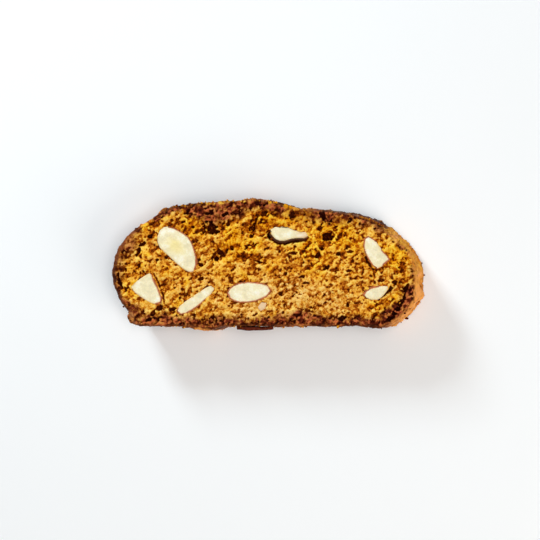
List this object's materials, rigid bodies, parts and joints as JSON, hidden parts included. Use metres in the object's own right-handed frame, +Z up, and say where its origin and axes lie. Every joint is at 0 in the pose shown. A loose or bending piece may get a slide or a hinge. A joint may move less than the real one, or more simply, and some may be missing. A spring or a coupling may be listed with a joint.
{
  "type": "biscotti",
  "caption": "Slice of crisp almond biscotti lying on a cut face, with a domed browned crust, a torn golden crumb and cut almond pieces.",
  "frame": {"origin": "centre of the bounding box's bottom: the plane that the slice lies on", "axes": "+X along the slice's length, +Y towards the domed crust, +Z up out of the upper cut face"},
  "size_m": [0.1106, 0.0466, 0.014],
  "materials": {
    "crumb": "matte",
    "crust": "satin",
    "almond": "satin",
    "almond_skin": "matte"
  },
  "bodies": {
    "root": {"dough": "crumb", "almond_large": "almond", "almond_middle": "almond", "almond_wedge": "almond", "almond_sliver": "almond", "almond_upper": "almond", "almond_lower": "almond", "almond_crown": "almond", "almond_chip": "almond"}
  },
  "joints": []
}
